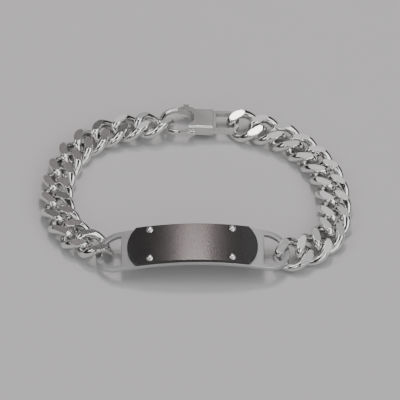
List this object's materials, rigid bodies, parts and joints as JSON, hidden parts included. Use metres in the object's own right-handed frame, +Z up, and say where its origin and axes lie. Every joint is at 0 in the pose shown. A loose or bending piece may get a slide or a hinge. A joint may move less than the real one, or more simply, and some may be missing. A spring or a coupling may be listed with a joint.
{
  "type": "chain bracelet",
  "caption": "Closed steel curb chain bracelet lying flat, with an arched name plate under a black riveted inlay and a lobster clasp with a sprung lever.",
  "frame": {"origin": "on the surface that the bracelet lies on, below the middle of its box", "axes": "+Z up, +X along the plate to the right as seen from the front, +Y from the plate to the clasp"},
  "size_m": [0.0874, 0.066, 0.0101],
  "materials": {
    "polished_steel": "polished",
    "satin_steel": "satin",
    "black_inlay": "finely brushed black"
  },
  "bodies": {
    "bracelet": {"plate_base": "satin_steel", "plate_inlay": "black_inlay", "rivet_1": "polished_steel", "rivet_2": "polished_steel", "rivet_3": "polished_steel", "rivet_4": "polished_steel", "clasp_body": "polished_steel", "link_left_1": "polished_steel", "link_left_2": "polished_steel", "link_left_3": "polished_steel", "link_left_4": "polished_steel", "link_left_5": "polished_steel", "link_left_6": "polished_steel", "link_left_7": "polished_steel", "link_left_8": "polished_steel", "link_left_9": "polished_steel", "link_left_10": "polished_steel", "link_left_11": "polished_steel", "link_left_12": "polished_steel", "link_right_1": "polished_steel", "link_right_2": "polished_steel", "link_right_3": "polished_steel", "link_right_4": "polished_steel", "link_right_5": "polished_steel", "link_right_6": "polished_steel", "link_right_7": "polished_steel", "link_right_8": "polished_steel", "link_right_9": "polished_steel", "link_right_10": "polished_steel", "link_right_11": "polished_steel", "link_right_12": "polished_steel"},
    "clasp_lever": {"clasp_lever": "polished_steel"}
  },
  "joints": [
    {"name": "lever_hinge", "type": "hinge", "parent": "bracelet", "child": "clasp_lever", "pos_m": [0.00162, 0.02884, 0.00325], "axis": [0, 0, 1], "range_deg": [0, 25], "stiffness_Nm_per_rad": 0.02, "springref_deg": -11.46}
  ]
}
